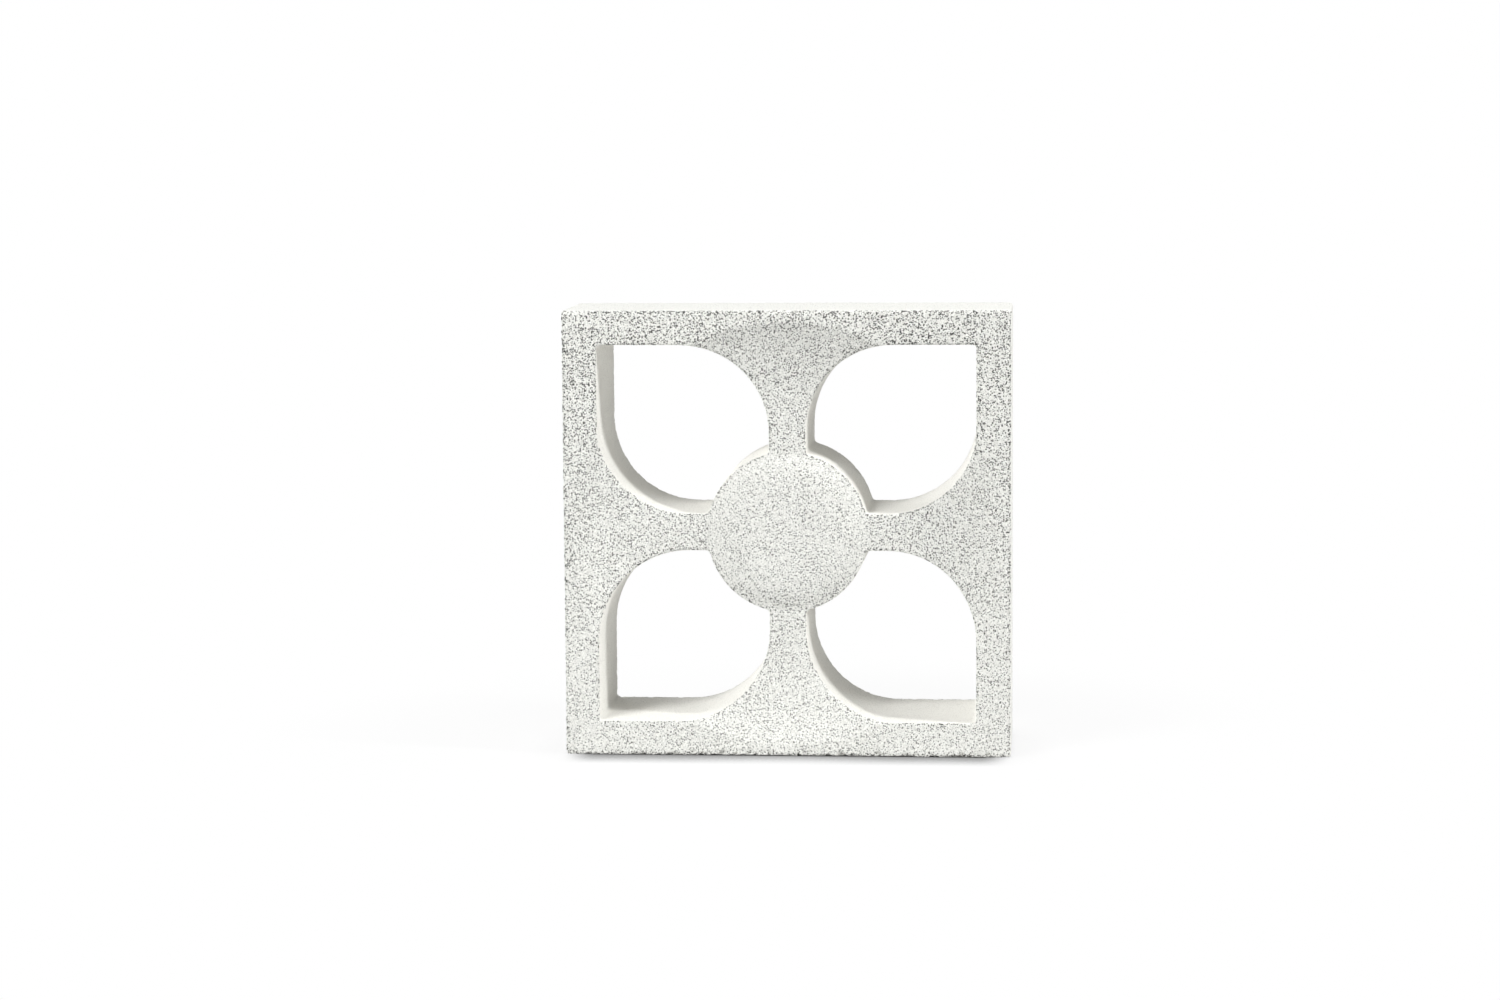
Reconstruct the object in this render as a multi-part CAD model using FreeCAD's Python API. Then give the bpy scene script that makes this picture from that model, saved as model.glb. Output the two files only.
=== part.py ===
import FreeCAD, Part
import math
import os

# Decorative screen block: one moulded piece of concrete, standing on its lower face.
# Millimetres. X runs to the right, Y from the front face to the back, Z up.
# The origin is the middle of the lower face.

# Overall size: a 300 mm wall module less one 10 mm mortar joint
block_width = 290.0
block_height = 290.0
block_depth = 90.0
arris_chamfer = 0.8          # the twelve outer edges

# Lattice: a square border, a cross of four arms and a round hub in the middle
border_width = 22.5          # beside an opening, at the front
arm_width = 24.0             # at the narrowest part of an arm, at the front
arm_straight = 11.5          # straight side of an arm, from its hub fillet to its big arc
hub_radius = 52.5            # wall of the hub, at the front
hub_fillet_radius = 2.6      # where the hub's wall meets the side of an arm
opening_corner_radius = 2.2  # outer corner of an opening
draft_angle = 0.55           # degrees: the openings narrow from the front to the back

# Dished front face, with the dome of the hub standing in it
rim_margin = 8.0             # from the dish's rim to the nearest outer edge
dish_depth = 12.5            # from the front face to the dish's flat floor
dish_floor_width = 30.5      # flat ring between the hub and the cove
dome_rise = 5.0              # flat top of the dome above the dish's floor
dome_shoulder_width = 21.0   # rounded shoulder of the dome
hub_ledge_width = 2.2        # from the foot of the dome to the hub's wall

# How far the body that cuts the dish stands out in front of the block
dish_overrun = 5.0

# Values that follow from the sizes above
front_y = -block_depth / 2
back_y = block_depth / 2
centre_z = block_height / 2
draft_slope = math.tan(math.radians(draft_angle))

opening_side = block_width / 2 - border_width
opening_top = block_height / 2 - border_width
fillet_reach = math.sqrt((hub_radius + hub_fillet_radius) ** 2 - (arm_width / 2 + hub_fillet_radius) ** 2)
side_arc_radius = opening_side - fillet_reach - arm_straight
top_arc_radius = opening_top - fillet_reach - arm_straight

rim_radius = min(block_width, block_height) / 2 - rim_margin
dish_floor_radius = hub_radius + dish_floor_width
cove_width = rim_radius - dish_floor_radius
cove_radius = (cove_width ** 2 + dish_depth ** 2) / (2 * dish_depth)
dome_radius = hub_radius - hub_ledge_width
dome_flat_radius = dome_radius - dome_shoulder_width
dome_top_depth = dish_depth - dome_rise
shoulder_radius = (dome_shoulder_width ** 2 + dome_rise ** 2) / (2 * dome_rise)

X_AXIS = FreeCAD.Vector(1, 0, 0)
Y_AXIS = FreeCAD.Vector(0, 1, 0)
Z_AXIS = FreeCAD.Vector(0, 0, 1)
CENTRE = FreeCAD.Vector(0, 0, centre_z)


def line(start, end):
    return Part.LineSegment(start, end).toShape()


def arc_about(centre, start, end):
    """The shorter arc from start to end around centre."""
    to_start = start - centre
    to_end = end - centre
    middle = centre + (to_start + to_end).normalize() * to_start.Length
    return Part.Arc(start, middle, end).toShape()


def blank():
    """The plain block with its outer edges taken off."""
    corner = FreeCAD.Vector(-block_width / 2, front_y, 0)
    box = Part.makeBox(block_width, block_depth, block_height, corner)
    return box.makeChamfer(arris_chamfer, box.Edges)


def dish():
    """The hollow of the front face: a flat floor, a cove up to its rim and a dome in its middle."""

    def at(radius, depth):
        return FreeCAD.Vector(radius, front_y + depth, centre_z)

    axis_front = at(0, -dish_overrun)
    axis_top = at(0, dome_top_depth)
    dome_flat_edge = at(dome_flat_radius, dome_top_depth)
    dome_foot = at(dome_radius, dish_depth)
    floor_edge = at(dish_floor_radius, dish_depth)
    rim = at(rim_radius, 0)
    rim_front = at(rim_radius, -dish_overrun)
    shoulder_centre = at(dome_flat_radius, dome_top_depth + shoulder_radius)
    cove_centre = at(dish_floor_radius, dish_depth - cove_radius)
    outline = Part.Wire([
        line(axis_front, axis_top),
        line(axis_top, dome_flat_edge),
        arc_about(shoulder_centre, dome_flat_edge, dome_foot),
        line(dome_foot, floor_edge),
        arc_about(cove_centre, floor_edge, rim),
        line(rim, rim_front),
        line(rim_front, axis_front),
    ])
    return Part.Face(outline).revolve(CENTRE, Y_AXIS, 360)


def opening_outline(y):
    """Outline of the upper right opening in the plane at y, inset evenly towards the back."""
    inset = (y - front_y) * draft_slope
    side = opening_side - inset
    top = opening_top - inset
    arm = arm_width / 2 + inset
    hub = hub_radius + inset
    side_radius = side_arc_radius - inset
    top_radius = top_arc_radius - inset
    fillet = hub_fillet_radius
    corner = opening_corner_radius

    def at(x, z):
        return FreeCAD.Vector(x, y, centre_z + z)

    # Each fillet touches an arm's side and, from outside, the hub's wall
    reach = math.sqrt((hub + fillet) ** 2 - (arm + fillet) ** 2)
    hub_share = hub / (hub + fillet)
    low_foot = at(reach, arm)
    low_centre = at(reach, arm + fillet)
    low_on_hub = at(reach * hub_share, (arm + fillet) * hub_share)
    high_foot = at(arm, reach)
    high_centre = at(arm + fillet, reach)
    high_on_hub = at((arm + fillet) * hub_share, reach * hub_share)

    # The big arcs turn from an arm into the border, and the outer corner is nearly square
    side_arc_low = at(side - side_radius, arm)
    side_arc_centre = at(side - side_radius, arm + side_radius)
    side_arc_high = at(side, arm + side_radius)
    corner_low = at(side, top - corner)
    corner_centre = at(side - corner, top - corner)
    corner_high = at(side - corner, top)
    top_arc_right = at(arm + top_radius, top)
    top_arc_centre = at(arm + top_radius, top - top_radius)
    top_arc_left = at(arm, top - top_radius)

    return Part.Wire([
        line(low_foot, side_arc_low),
        arc_about(side_arc_centre, side_arc_low, side_arc_high),
        line(side_arc_high, corner_low),
        arc_about(corner_centre, corner_low, corner_high),
        line(corner_high, top_arc_right),
        arc_about(top_arc_centre, top_arc_right, top_arc_left),
        line(top_arc_left, high_foot),
        arc_about(high_centre, high_foot, high_on_hub),
        arc_about(at(0, 0), high_on_hub, low_on_hub),
        arc_about(low_centre, low_on_hub, low_foot),
    ])


def opening_cores():
    """The four tapered cores that leave the openings, mirrored from the upper right one."""
    ends = [opening_outline(front_y), opening_outline(back_y)]
    upper_right = Part.makeLoft(ends, True, True)
    upper_left = upper_right.mirror(CENTRE, X_AXIS)
    upper = [upper_right, upper_left]
    lower = [core.mirror(CENTRE, Z_AXIS) for core in upper]
    return upper + lower


screen_block = blank().cut([dish()] + opening_cores()).Solids[0]

os.makedirs("parts", exist_ok=True)
screen_block.exportStep("parts/screen_block.step")
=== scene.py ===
import math

import bpy
import numpy as np
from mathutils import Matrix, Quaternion, Vector, kdtree


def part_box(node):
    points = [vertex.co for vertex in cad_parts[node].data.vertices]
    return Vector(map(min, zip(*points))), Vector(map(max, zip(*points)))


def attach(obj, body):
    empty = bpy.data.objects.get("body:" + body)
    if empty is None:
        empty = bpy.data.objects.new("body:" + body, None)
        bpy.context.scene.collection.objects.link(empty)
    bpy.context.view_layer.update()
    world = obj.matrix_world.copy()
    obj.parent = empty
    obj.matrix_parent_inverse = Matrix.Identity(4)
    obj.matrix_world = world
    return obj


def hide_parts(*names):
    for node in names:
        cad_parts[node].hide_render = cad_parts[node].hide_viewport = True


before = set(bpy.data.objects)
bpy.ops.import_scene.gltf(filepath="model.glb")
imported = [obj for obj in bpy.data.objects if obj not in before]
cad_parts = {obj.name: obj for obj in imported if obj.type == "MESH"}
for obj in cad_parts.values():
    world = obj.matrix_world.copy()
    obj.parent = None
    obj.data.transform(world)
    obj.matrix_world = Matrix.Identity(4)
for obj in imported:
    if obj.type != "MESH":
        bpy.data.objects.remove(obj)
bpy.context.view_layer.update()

# Decorative screen block of pressed near-white concrete, standing on a pale floor.
# Metres, in the part's own frame: front face towards -Y, Z up.
NODE = "screen_block"
BLOCK_LOW, BLOCK_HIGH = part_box(NODE)
MIDDLE = (BLOCK_LOW + BLOCK_HIGH) / 2
FACE_MIDDLE = Vector((MIDDLE.x, BLOCK_LOW.y, MIDDLE.z))

# Casting detail of the block's mesh
MESH_GRAIN = 0.0009         # voxel that the cast surface is rebuilt at
TRIANGLES = 190000
SHARP_ANGLE = math.radians(30)   # edges sharper than this are arrises
SMOOTH_ANGLE = math.radians(45)  # faces that meet flatter than this are shaded smooth
FACING = 0.5                # a normal turned this far along Y is on the front or the back
SEAM = 0.000001             # corners closer than this are one corner
ARRIS_STEP = 0.0008         # spacing of the points that mark the arrises
WEAR_REACH = 0.0016         # how far wear runs from an arris
OPEN_REACH = 0.0018         # how far the open grain of an arris runs
CHIP_REACH = 0.0035         # how far a chip runs from an arris
SKIN = 0.001                # band that counts as an outer side

# Camera, from the photograph's own frame of 1500 by 1000 pixels
FRAME_WIDTH_PX = 1500
FRAME_HEIGHT_PX = 1000
FACE_MIDDLE_PX = (785.9, 534.9)
FOCAL_PX = 3517.0
CAMERA_FROM_FACE = Vector((0.1696, -2.2471, 0.2745))
CAMERA_ROLL = math.radians(-0.31)

# Stage
FLOOR_SIZE = 1.8
FADE_START = 0.18           # from here the floor fades to white
FADE_END = 0.40
FADE_LEAST = 0.92
PAINTED_SHADOW_REACH = 0.032       # how far the painted contact shadow runs out
PAINTED_SHADOW_DEPTH = 2.4
PAINTED_SHADOW_SIDE = 0.05         # how much of it is left at the ends
PAINTED_SHADOW_ENDS = (0.020, 0.004)    # from so far inside an end to so far outside it
FLOOR_PAINT = (0.85, 0.85, 0.85, 1)
LIGHT_DISTANCE = 2.2


def only(obj):
    """Selects one object and makes it active."""
    bpy.ops.object.select_all(action="DESELECT")
    obj.select_set(True)
    bpy.context.view_layer.objects.active = obj


def apply_modifier(obj, name):
    only(obj)
    bpy.ops.object.modifier_apply(modifier=name)


# The block's mesh

def merged_copy(node, name):
    """A copy of the CAD node's mesh with its loose corners joined."""
    piece = bpy.data.objects.new(name, node.data.copy())
    piece.data.materials.clear()
    bpy.context.scene.collection.objects.link(piece)
    only(piece)
    bpy.ops.object.mode_set(mode="EDIT")
    bpy.ops.mesh.select_all(action="SELECT")
    bpy.ops.mesh.remove_doubles(threshold=SEAM)
    bpy.ops.mesh.select_mode(type="EDGE")
    bpy.ops.mesh.select_all(action="DESELECT")
    bpy.ops.mesh.edges_select_sharp(sharpness=SHARP_ANGLE)
    bpy.ops.object.mode_set(mode="OBJECT")
    return piece


def arris_tree(piece):
    """Points along the selected, sharp edges, for finding the nearest arris."""
    corners = piece.data.vertices
    points = []
    for edge in piece.data.edges:
        if not edge.select:
            continue
        start, end = [corners[i].co for i in edge.vertices]
        steps = max(1, math.ceil((end - start).length / ARRIS_STEP))
        points.extend(start.lerp(end, i / steps) for i in range(steps + 1))
    tree = kdtree.KDTree(len(points))
    for i, point in enumerate(points):
        tree.insert(point, i)
    tree.balance()
    return tree


def arris_distances(arrises, places):
    """How far each point is from its nearest arris."""
    return np.array([arrises.find(place)[2] for place in places])


def vertex_array(mesh, attribute):
    """One row of three numbers for each of the mesh's corners."""
    values = np.zeros(len(mesh.vertices) * 3, np.float32)
    mesh.vertices.foreach_get(attribute, values)
    return values.reshape(-1, 3)


def add_group(piece, name, weights):
    """A vertex group from an array of weights, rounded to tenths."""
    group = piece.vertex_groups.new(name=name)
    tenths = np.round(weights * 10).astype(int)
    for tenth in range(1, 11):
        group.add(np.nonzero(tenths == tenth)[0].tolist(), tenth / 10, "REPLACE")


def on_outside(places):
    """Which points lie on the block's four outer sides."""
    low = np.array(BLOCK_LOW) + SKIN
    high = np.array(BLOCK_HIGH) - SKIN
    across = (places[:, 0] < low[0]) | (places[:, 0] > high[0])
    upright = (places[:, 2] < low[2]) | (places[:, 2] > high[2])
    return across | upright


def roughen(piece, group, texture, depth):
    """Sinks the surface by up to depth where the texture is dark."""
    rough = piece.modifiers.new(texture.name, "DISPLACE")
    rough.texture = texture
    rough.texture_coords = "LOCAL"
    rough.vertex_group = group
    rough.strength = depth
    rough.mid_level = 1.0
    apply_modifier(piece, rough.name)


def sunk_texture(name, kind, size, deepest, level):
    """A texture that is dark below deepest and white above level."""
    texture = bpy.data.textures.new(name, kind)
    texture.noise_scale = size
    texture.use_color_ramp = True
    dark, light = texture.color_ramp.elements
    dark.position, dark.color = deepest, (0, 0, 0, 1)
    light.position, light.color = level, (1, 1, 1, 1)
    return texture


def near(values, edge, reach):
    """1 at the edge, falling to 0 at the reach."""
    return np.clip(1 - np.abs(values - edge) / reach, 0, 1)


def mark_arrises(piece, arrises):
    """Stores how near each corner is to an arris, for the finishes."""
    to_arris = arris_distances(arrises, vertex_array(piece.data, "co"))
    marks = piece.data.attributes.new("arris", "FLOAT", "POINT")
    marks.data.foreach_set("value", near(to_arris, 0, OPEN_REACH).astype(np.float32))


def cast_block():
    """The block as it comes from the mould: pitted face, smooth core walls, worn and chipped arrises."""
    piece = merged_copy(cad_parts[NODE], "screen_block_cast")
    arrises = arris_tree(piece)

    grain = piece.modifiers.new("grain", "REMESH")
    grain.mode = "VOXEL"
    grain.voxel_size = MESH_GRAIN
    apply_modifier(piece, grain.name)

    places = vertex_array(piece.data, "co")
    facing = vertex_array(piece.data, "normal")[:, 1]
    to_arris = arris_distances(arrises, places)
    across, along, upright = places.T
    outside = on_outside(places)
    worn = near(to_arris, 0, WEAR_REACH)
    chipped = near(to_arris, 0, CHIP_REACH)
    at_back = along > BLOCK_HIGH.y - CHIP_REACH
    at_front = along < BLOCK_LOW.y + CHIP_REACH
    at_rim = np.maximum(np.abs(across - MIDDLE.x), np.abs(upright - MIDDLE.z)) > MIDDLE.z - CHIP_REACH
    at_foot = upright < BLOCK_LOW.z + CHIP_REACH
    add_group(piece, "pressed", (facing < -FACING).astype(float))
    add_group(piece, "struck", ((facing > FACING) | outside).astype(float))
    add_group(piece, "worn", worn)
    add_group(piece, "torn", chipped * at_back)
    add_group(piece, "chipped", chipped * (at_rim & ~(at_foot & at_front)))
    add_group(piece, "bruised", chipped * (at_foot & at_front))

    pits = sunk_texture("pits", "VORONOI", size=0.0021, deepest=0.05, level=0.45)
    open_grain = sunk_texture("open grain", "CLOUDS", size=0.004, deepest=0.2, level=0.7)
    wear = sunk_texture("arris wear", "CLOUDS", size=0.0022, deepest=0.25, level=0.75)
    tears = sunk_texture("torn arris", "CLOUDS", size=0.0028, deepest=0.22, level=0.45)
    chips = sunk_texture("chips", "CLOUDS", size=0.009, deepest=0.15, level=0.34)
    bruises = sunk_texture("bruises", "CLOUDS", size=0.006, deepest=0.25, level=0.46)
    roughen(piece, "pressed", pits, depth=0.0004)
    roughen(piece, "struck", open_grain, depth=0.0003)
    roughen(piece, "worn", wear, depth=0.0009)
    roughen(piece, "torn", tears, depth=0.0028)
    roughen(piece, "chipped", chips, depth=0.003)
    roughen(piece, "bruised", bruises, depth=0.0042)
    piece.vertex_groups.clear()

    # Each face is still a quad here, so it counts as two triangles
    thin = piece.modifiers.new("thin", "DECIMATE")
    thin.ratio = TRIANGLES / (2 * len(piece.data.polygons))
    apply_modifier(piece, thin.name)
    # Rebuilding the surface leaves a little of it outside the CAD box
    trimmed = np.clip(vertex_array(piece.data, "co"), np.array(BLOCK_LOW), np.array(BLOCK_HIGH))
    piece.data.vertices.foreach_set("co", trimmed.astype(np.float32).ravel())
    piece.data.update()
    bpy.ops.object.shade_smooth_by_angle(angle=SMOOTH_ANGLE)
    mark_arrises(piece, arrises)
    return piece


# Finishes

class Finish:
    """A material whose nodes are added one by one."""

    def __init__(self, name):
        self.material = bpy.data.materials.new(name)
        self.material.use_nodes = True
        self.nodes = self.material.node_tree.nodes
        self.links = self.material.node_tree.links
        self.shader = self.nodes["Principled BSDF"]
        self.place = self.nodes.new("ShaderNodeTexCoord").outputs["Object"]

    def put(self, socket, value):
        if isinstance(value, bpy.types.NodeSocket):
            self.links.new(value, socket)
        else:
            socket.default_value = value

    def noise(self, size, detail=2.0, roughness=0.5):
        node = self.nodes.new("ShaderNodeTexNoise")
        self.put(node.inputs["Vector"], self.place)
        node.inputs["Scale"].default_value = 1 / size
        node.inputs["Detail"].default_value = detail
        node.inputs["Roughness"].default_value = roughness
        return node

    def stirred(self, size, reach):
        """Places moved about by up to the reach, so that nothing lines up in rows."""
        noise = self.noise(size, detail=3.0, roughness=0.6)
        moved = self.nodes.new("ShaderNodeVectorMath")
        moved.operation = "MULTIPLY_ADD"
        self.put(moved.inputs[0], noise.outputs["Color"])
        moved.inputs[1].default_value = (reach, reach, reach)
        self.put(moved.inputs[2], self.place)
        return moved.outputs["Vector"]

    def grains(self, size, feature="F1", place=None):
        """Cells of packed grains, with distances to a grain's middle or rim and a chance per grain."""
        node = self.nodes.new("ShaderNodeTexVoronoi")
        node.feature = feature
        self.put(node.inputs["Vector"], place or self.place)
        node.inputs["Scale"].default_value = 1 / size
        return node

    def ramp(self, value, low, high, to_low=0.0, to_high=1.0):
        """Maps low..high to to_low..to_high, smoothly and clamped."""
        node = self.nodes.new("ShaderNodeMapRange")
        node.interpolation_type = "SMOOTHSTEP"
        self.put(node.inputs["Value"], value)
        for name, number in zip(("From Min", "From Max", "To Min", "To Max"), (low, high, to_low, to_high)):
            self.put(node.inputs[name], number)
        return node.outputs["Result"]

    def math(self, operation, first, second=0.0):
        node = self.nodes.new("ShaderNodeMath")
        node.operation = operation
        self.put(node.inputs[0], first)
        self.put(node.inputs[1], second)
        return node.outputs["Value"]

    def mix(self, amount, first, second):
        node = self.nodes.new("ShaderNodeMix")
        node.data_type = "RGBA"
        self.put(node.inputs["Factor"], amount)
        self.put(node.inputs["A"], first)
        self.put(node.inputs["B"], second)
        return node.outputs["Result"]

    def split(self, colour):
        node = self.nodes.new("ShaderNodeSeparateColor")
        self.put(node.inputs["Color"], colour)
        return [node.outputs[name] for name in ("Red", "Green", "Blue")]

    def along(self, axis):
        """A point's place along one axis."""
        node = self.nodes.new("ShaderNodeSeparateXYZ")
        self.put(node.inputs["Vector"], self.place)
        return node.outputs[axis]

    def mark(self, name):
        """An attribute stored with the mesh."""
        node = self.nodes.new("ShaderNodeAttribute")
        node.attribute_name = name
        return node.outputs["Fac"]

    def from_axis(self, middle):
        """How far a point is from the line through middle along Y."""
        flat = self.nodes.new("ShaderNodeVectorMath")
        flat.operation = "MULTIPLY_ADD"
        self.put(flat.inputs[0], self.place)
        flat.inputs[1].default_value = (1, 0, 1)
        flat.inputs[2].default_value = (-middle.x, 0, -middle.z)
        length = self.nodes.new("ShaderNodeVectorMath")
        length.operation = "LENGTH"
        self.put(length.inputs[0], flat.outputs["Vector"])
        return length.outputs["Value"]

    def bump(self, height, depth, strength):
        node = self.nodes.new("ShaderNodeBump")
        node.inputs["Strength"].default_value = strength
        node.inputs["Distance"].default_value = depth
        self.put(node.inputs["Height"], height)
        return node.outputs["Normal"]

    def finish(self, colour, normal):
        """Matt concrete of the given colour and fine relief."""
        self.put(self.shader.inputs["Base Color"], colour)
        self.put(self.shader.inputs["Normal"], normal)
        self.shader.inputs["Roughness"].default_value = 0.9
        self.shader.inputs["Specular IOR Level"].default_value = 0.25
        return self.material


# Colours of the grains, palest and dullest, and the dark painted shade in the voids between them
PALE = (0.94, 0.942, 0.905, 1)
CREAM = (0.62, 0.62, 0.585, 1)
CAST = (0.92, 0.915, 0.875, 1)
CAST_DULL = (0.80, 0.79, 0.75, 1)
SIDE = (0.93, 0.93, 0.89, 1)
SIDE_DULL = (0.85, 0.85, 0.81, 1)
DEEP_PORE_SHADE = (0.004, 0.004, 0.003, 1)
SHALLOW_PORE_SHADE = (0.08, 0.08, 0.073, 1)
FAINT_PORE_SHADE = (0.30, 0.30, 0.28, 1)
OPEN_PORE_SHADES = (DEEP_PORE_SHADE, SHALLOW_PORE_SHADE)     # painted shade in the voids of open grain, deepest and shallowest
CLOSE_PORE_SHADES = (SHALLOW_PORE_SHADE, FAINT_PORE_SHADE)   # painted shade in the voids of a close surface

# Grains and voids, in metres
GRAIN = 0.00045             # grains of the concrete
POCK = 0.001                # spacing of the voids between them
HOLE = 0.006                # spacing of the larger blow holes
STIR = 0.004                # size of the swirls that the voids lie in
STIR_REACH = 0.0018
PATCH = 0.018               # patches of slightly opener and tighter grain
RELIEF = 0.0003             # depth of the fine relief

# Grains and voids, against their spacing
POCK_BREADTH = (0.5, 1.4)   # narrowest and broadest void, against the even one
POCK_EDGE = 0.08            # softness of a void's edge
HOLE_BREADTH = 0.3          # radius of a blow hole where all is open
HOLE_EDGE = 0.01
GRAIN_SHOULDER = 0.3        # rounded rim of a grain
GRAIN_RISE = 0.4            # its height, against the depth of a void

# Share of each surface that is open between grains
FACE_OPEN = 0.41
BACK_OPEN = 0.12
SIDE_OPEN = 0.022
WALL_OPEN = 0.014
PATCH_SHARE = (0.9, 1.1)    # least and most of it in the patches
PATCH_LEVEL = (0.3, 0.7)    # levels of the noise that give them
ARRIS_OPEN = 0.26           # added at the arrises of the face
NICK_SHADE_OPEN = 1.3             # added at the face's foot: painted shade in its nicks
NICK_SHADE_REACH = 0.002
NICK_SHADE_WIDTH = 0.005
NICK_SHADE_LEVEL = (0.56, 0.64)   # levels of the noise that give none and a full nick
TORN_OPEN = 0.45            # added on the walls at the torn arrises of the back
TORN_REACH = 0.004

# How the open share of the face changes from place to place
HUB_SHARE = 0.68            # top of the hub's dome
SHOULDER = 0.040            # radius where the dome's shoulder starts
SHOULDER_SHARE = 0.48       # the shoulder is pressed tightest
SHOULDER_SHADE_SHARE = 1.0   # but its lower edge has more dark voids: painted shade under the dome
SHOULDER_SHADE_BAND = (0.045, 0.015)   # that band of painted shade, measured down from the middle
HUB_EDGE = 0.050            # radius of the dome's foot
HUB_BLEND = 0.004
DISH_SHARE = 0.95           # floor and cove of the dish
DISH_EDGE = 0.133           # radius just inside the dish's rim
BLEND = 0.005               # width over which the share changes there and at the shoulder
FOOT_SHADE_SHARE = 0.30           # lower edge of the face, fewest dark voids: painted lighter where the floor lights it
HEAD_SHADE_SHARE = 0.63           # upper edge of the face, most dark voids: painted shade towards the top
DISH_HEAD_SHADE_SHARE = 0.45      # most that the painted shade towards the top gives inside the dish


def packed_grains(stone, share, dull, pale, pore_shades):
    """Packed grains from dull to pale, with voids between them coloured dark as painted shade in the pores;
    share says how much is open.
    """
    rim = stone.grains(GRAIN, "DISTANCE_TO_EDGE").outputs["Distance"]
    tint = stone.split(stone.grains(GRAIN).outputs["Color"])[0]
    place = stone.stirred(STIR, STIR_REACH)
    pocks = stone.grains(POCK, place=place)
    breadth, depth, _ = stone.split(pocks.outputs["Color"])
    # A ball as large as this fills the open share of its cell
    ball = stone.math("POWER", stone.math("MULTIPLY", share, 0.75 / math.pi), 1 / 3)
    radius = stone.math("MULTIPLY", ball, stone.ramp(breadth, 0.0, 1.0, *POCK_BREADTH))
    pock = stone.ramp(stone.math("SUBTRACT", radius, pocks.outputs["Distance"]), -POCK_EDGE, POCK_EDGE)
    # Blow holes are few, and only where the grain is open
    hole_radius = stone.math("MULTIPLY", share, HOLE_BREADTH)
    hole_distance = stone.grains(HOLE, place=place).outputs["Distance"]
    hole = stone.ramp(stone.math("SUBTRACT", hole_radius, hole_distance), -HOLE_EDGE, HOLE_EDGE)
    void = stone.math("MAXIMUM", pock, hole)
    grain_colour = stone.mix(tint, dull, pale)
    # The voids' dark colours are painted shade in the pores, deepest in the blow holes.
    pore_shade_colour = stone.mix(stone.math("SUBTRACT", depth, hole), *pore_shades)
    colour = stone.mix(void, grain_colour, pore_shade_colour)
    dome = stone.ramp(rim, 0.0, GRAIN_SHOULDER)
    height = stone.math("SUBTRACT", stone.math("MULTIPLY", dome, GRAIN_RISE), void)
    return stone.finish(colour, stone.bump(height, RELIEF, strength=0.4))


def patchy_share(stone, share):
    """The share, a little more and less of it in patches."""
    least, most = PATCH_SHARE
    return stone.ramp(stone.noise(PATCH).outputs["Fac"], *PATCH_LEVEL, least * share, most * share)


def pressed_face():
    """The dished front: open grain, tighter on the hub; more dark voids towards the top, at the dome's
    lower edge and in nicks at the foot are painted shade.
    """
    stone = Finish("pressed_face_concrete")
    away = stone.from_axis(FACE_MIDDLE)
    up = stone.along("Z")
    # The dome's lower edge gets more dark voids: painted shade where it turns down.
    shade_low, shade_high = [MIDDLE.z - drop for drop in SHOULDER_SHADE_BAND]
    shoulder_with_shade = stone.ramp(up, shade_low, shade_high, SHOULDER_SHADE_SHARE, SHOULDER_SHARE)
    shoulder = stone.ramp(away, SHOULDER, SHOULDER + BLEND, HUB_SHARE, shoulder_with_shade)
    hub = stone.ramp(away, HUB_EDGE, HUB_EDGE + HUB_BLEND, shoulder, DISH_SHARE)
    border = stone.ramp(away, DISH_EDGE, DISH_EDGE + BLEND, 0.0, 1.0 - DISH_SHARE)
    pressed = stone.math("ADD", hub, border)
    # More dark voids towards the top and fewer at the foot: painted shade, lighter low down where the floor
    # lights the face.
    height = stone.ramp(up, BLOCK_LOW.z, BLOCK_HIGH.z, FOOT_SHADE_SHARE, HEAD_SHADE_SHARE)
    most = stone.ramp(away, DISH_EDGE, DISH_EDGE + BLEND, DISH_HEAD_SHADE_SHARE, HEAD_SHADE_SHARE)
    part = stone.math("MULTIPLY", pressed, stone.math("MINIMUM", height, most))
    share = stone.math("MULTIPLY", patchy_share(stone, FACE_OPEN), part)
    # Dark voids in patches along the foot: painted shade in the nicks over the floor, added to the open
    # grain of the arrises.
    at_foot = stone.ramp(up, BLOCK_LOW.z, BLOCK_LOW.z + NICK_SHADE_REACH, NICK_SHADE_OPEN, 0.0)
    nick_shade = stone.ramp(stone.noise(NICK_SHADE_WIDTH, detail=1.0).outputs["Fac"], *NICK_SHADE_LEVEL)
    nick_shade_at_foot = stone.math("MULTIPLY", at_foot, nick_shade)
    nick_shade_and_arris_wear = stone.math("ADD", nick_shade_at_foot, stone.math("MULTIPLY", stone.mark("arris"), ARRIS_OPEN))
    return packed_grains(stone, stone.math("ADD", share, nick_shade_and_arris_wear), CREAM, PALE, OPEN_PORE_SHADES)


def core_wall():
    """Smooth concrete cast against a core, torn open along the back arris."""
    stone = Finish("core_wall_concrete")
    torn = stone.ramp(stone.along("Y"), BLOCK_HIGH.y - TORN_REACH, BLOCK_HIGH.y, 0.0, TORN_OPEN)
    share = stone.math("ADD", torn, patchy_share(stone, WALL_OPEN))
    return packed_grains(stone, share, CAST_DULL, CAST, CLOSE_PORE_SHADES)


def mould_side():
    """The four bed and end faces, close and pale from the mould's sides."""
    stone = Finish("mould_side_concrete")
    return packed_grains(stone, patchy_share(stone, SIDE_OPEN), SIDE_DULL, SIDE, CLOSE_PORE_SHADES)


def struck_back():
    """The flat back, struck off level: open grain again, less than on the front."""
    stone = Finish("struck_back_concrete")
    return packed_grains(stone, patchy_share(stone, BACK_OPEN), CREAM, PALE, OPEN_PORE_SHADES)


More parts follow.
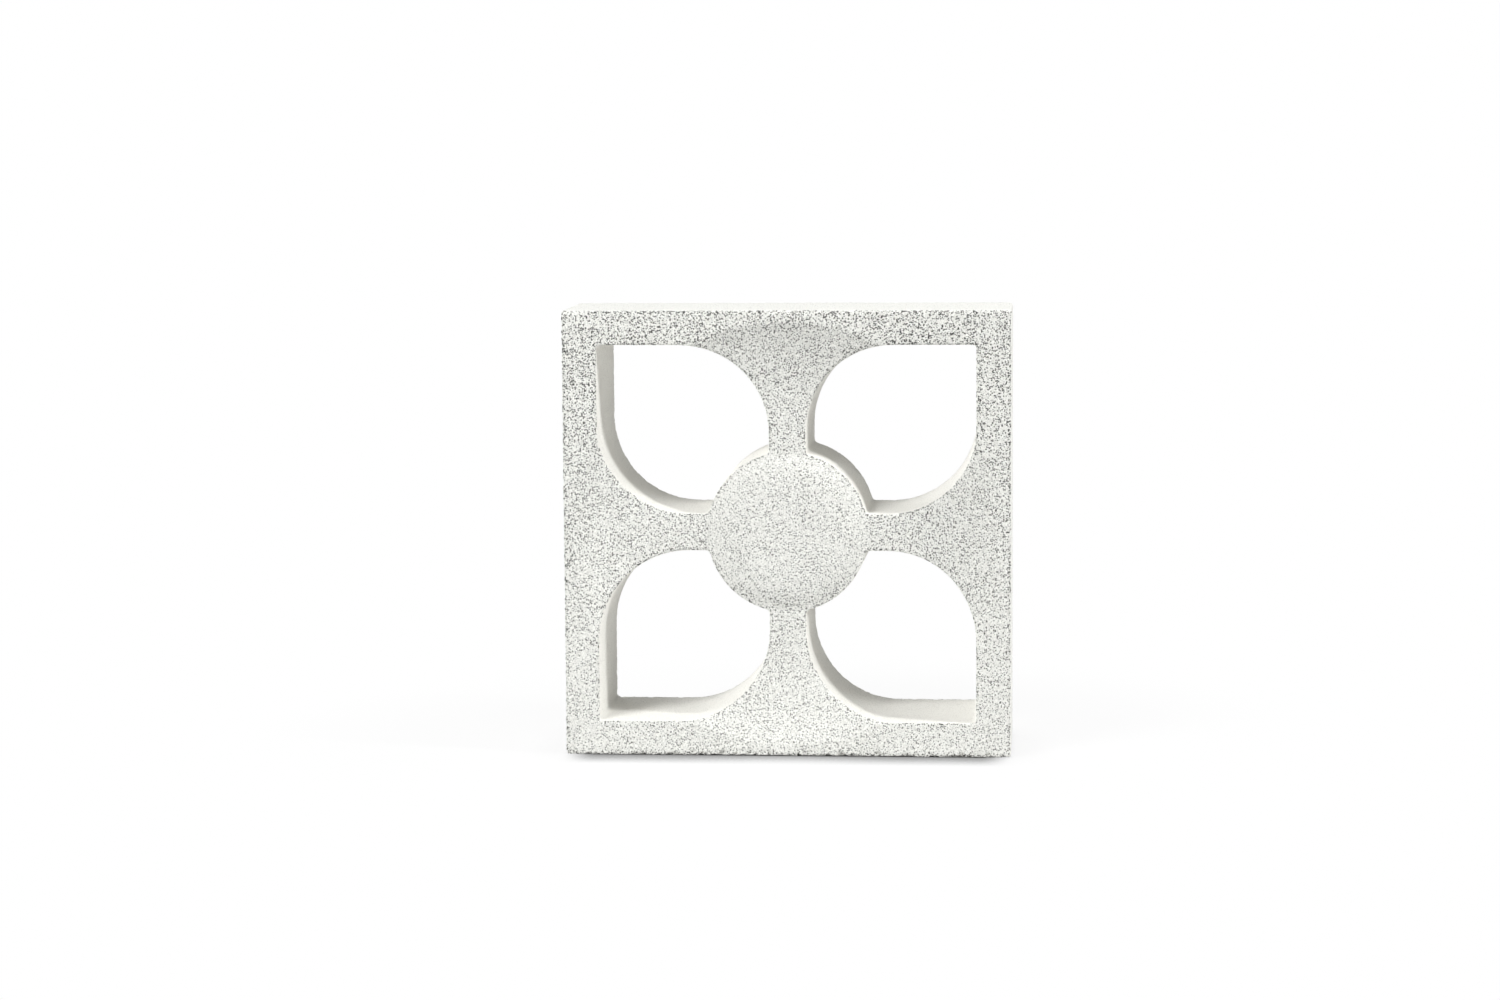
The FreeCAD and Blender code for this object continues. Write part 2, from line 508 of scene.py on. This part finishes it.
def dress(piece):
    """Gives each part of the block's surface its own finish."""
    for finish in (pressed_face(), core_wall(), mould_side(), struck_back()):
        piece.data.materials.append(finish)
    face, wall, side, back = range(4)
    count = len(piece.data.polygons)
    normals = np.zeros(count * 3, np.float32)
    centres = np.zeros(count * 3, np.float32)
    piece.data.polygons.foreach_get("normal", normals)
    piece.data.polygons.foreach_get("center", centres)
    facing = normals.reshape(-1, 3)[:, 1]
    index = np.full(count, wall, np.int32)
    index[on_outside(centres.reshape(-1, 3))] = side
    index[facing < -FACING] = face
    index[facing > FACING] = back
    piece.data.polygons.foreach_set("material_index", index)
    piece.data.update()


# Floor, light and camera

def pale_floor():
    """A matt white floor that fades into the white surround away from the block, its glow darkened near the
    block as a painted contact shadow.
    """
    bpy.ops.object.select_all(action="DESELECT")
    bpy.ops.mesh.primitive_plane_add(size=FLOOR_SIZE, location=(0, 0, BLOCK_LOW.z))
    floor = bpy.context.object
    floor.name = "floor"
    paint = Finish("pale_floor")
    nodes, links = paint.nodes, paint.links
    paint.shader.inputs["Base Color"].default_value = FLOOR_PAINT
    paint.shader.inputs["Roughness"].default_value = 1.0
    paint.shader.inputs["Specular IOR Level"].default_value = 0.0
    glow = nodes.new("ShaderNodeEmission")
    # Ambient occlusion darkens the floor's glow beside the block: a painted contact shadow.
    nearby = nodes.new("ShaderNodeAmbientOcclusion")
    nearby.samples = 4
    nearby.inputs["Distance"].default_value = PAINTED_SHADOW_REACH
    painted_contact_shadow = paint.math("SUBTRACT", 1.0, paint.math("POWER", nearby.outputs["AO"], PAINTED_SHADOW_DEPTH))
    aside = paint.math("ABSOLUTE", paint.along("X"))
    inside, outside = PAINTED_SHADOW_ENDS
    part = paint.ramp(aside, BLOCK_HIGH.x - inside, BLOCK_HIGH.x + outside, 1.0, PAINTED_SHADOW_SIDE)
    light = paint.math("SUBTRACT", 1.0, paint.math("MULTIPLY", painted_contact_shadow, part))
    links.new(light, glow.inputs["Strength"])
    away = nodes.new("ShaderNodeVectorMath")
    away.operation = "LENGTH"
    links.new(paint.place, away.inputs[0])
    fade = paint.ramp(away.outputs["Value"], FADE_START, FADE_END, FADE_LEAST, 1.0)
    shown = paint.math("MULTIPLY", seen_rays(nodes, links), fade)
    mix = nodes.new("ShaderNodeMixShader")
    links.new(shown, mix.inputs["Fac"])
    links.new(paint.shader.outputs["BSDF"], mix.inputs[1])
    links.new(glow.outputs["Emission"], mix.inputs[2])
    links.new(mix.outputs["Shader"], nodes["Material Output"].inputs["Surface"])
    floor.data.materials.append(paint.material)


def seen_rays(nodes, links):
    """1 for rays that show the background: from the camera, in gloss and through glass."""
    path = nodes.new("ShaderNodeLightPath")
    total = path.outputs["Is Camera Ray"]
    for name in ("Is Glossy Ray", "Is Transmission Ray"):
        larger = nodes.new("ShaderNodeMath")
        larger.operation = "MAXIMUM"
        links.new(total, larger.inputs[0])
        links.new(path.outputs[name], larger.inputs[1])
        total = larger.outputs["Value"]
    return total


def white_surround(level):
    """White where it is seen, and an even light of the given level."""
    world = bpy.data.worlds.new("white_surround")
    bpy.context.scene.world = world
    world.use_nodes = True
    nodes = world.node_tree.nodes
    links = world.node_tree.links
    background = nodes["Background"]
    background.inputs["Color"].default_value = (1, 1, 1, 1)
    strength = nodes.new("ShaderNodeMapRange")
    links.new(seen_rays(nodes, links), strength.inputs["Value"])
    strength.inputs["To Min"].default_value = level
    strength.inputs["To Max"].default_value = 1.0
    links.new(strength.outputs["Result"], background.inputs["Strength"])


def softbox(name, right, up, size, level):
    """A softbox seen from the block at right and up degrees; level 1 lights a white card to white."""
    turn = math.radians(right)
    rise = math.radians(up)
    way = Vector((math.sin(turn) * math.cos(rise), -math.cos(turn) * math.cos(rise), math.sin(rise)))
    light = bpy.data.lights.new(name, "AREA")
    light.shape = "DISK"
    light.size = size
    light.energy = level * (math.pi * LIGHT_DISTANCE) ** 2
    lamp = bpy.data.objects.new(name, light)
    bpy.context.scene.collection.objects.link(lamp)
    lamp.location = MIDDLE + way * LIGHT_DISTANCE
    lamp.rotation_mode = "QUATERNION"
    lamp.rotation_quaternion = (-way).to_track_quat("-Z", "Y")
    lamp.visible_camera = False


def photo_camera():
    """A camera where the photograph was taken, with the face's middle at the same pixel."""
    data = bpy.data.cameras.new("photo_camera")
    camera = bpy.data.objects.new("photo_camera", data)
    bpy.context.scene.collection.objects.link(camera)
    data.sensor_width = 36.0
    data.lens = FOCAL_PX / FRAME_WIDTH_PX * data.sensor_width
    camera.location = FACE_MIDDLE + CAMERA_FROM_FACE
    aim = (-CAMERA_FROM_FACE).to_track_quat("-Z", "Y")
    left = math.atan((FACE_MIDDLE_PX[0] - FRAME_WIDTH_PX / 2) / FOCAL_PX)
    up = math.atan((FACE_MIDDLE_PX[1] - FRAME_HEIGHT_PX / 2) / FOCAL_PX)
    turn = Quaternion((0, 1, 0), left) @ Quaternion((1, 0, 0), up) @ Quaternion((0, 0, 1), CAMERA_ROLL)
    camera.rotation_mode = "QUATERNION"
    camera.rotation_quaternion = aim @ turn
    bpy.context.scene.camera = camera


block = cast_block()
dress(block)
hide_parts(NODE)
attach(block, "root")

pale_floor()
white_surround(level=0.18)
softbox("left_softbox", right=-36, up=37, size=0.8, level=0.76)
softbox("right_softbox", right=73, up=36, size=0.3, level=0.64)
softbox("top_softbox", right=0, up=90, size=0.6, level=0.07)
softbox("rear_fill", right=-150, up=1, size=0.6, level=0.43)
photo_camera()
bpy.context.scene.view_settings.view_transform = "Standard"
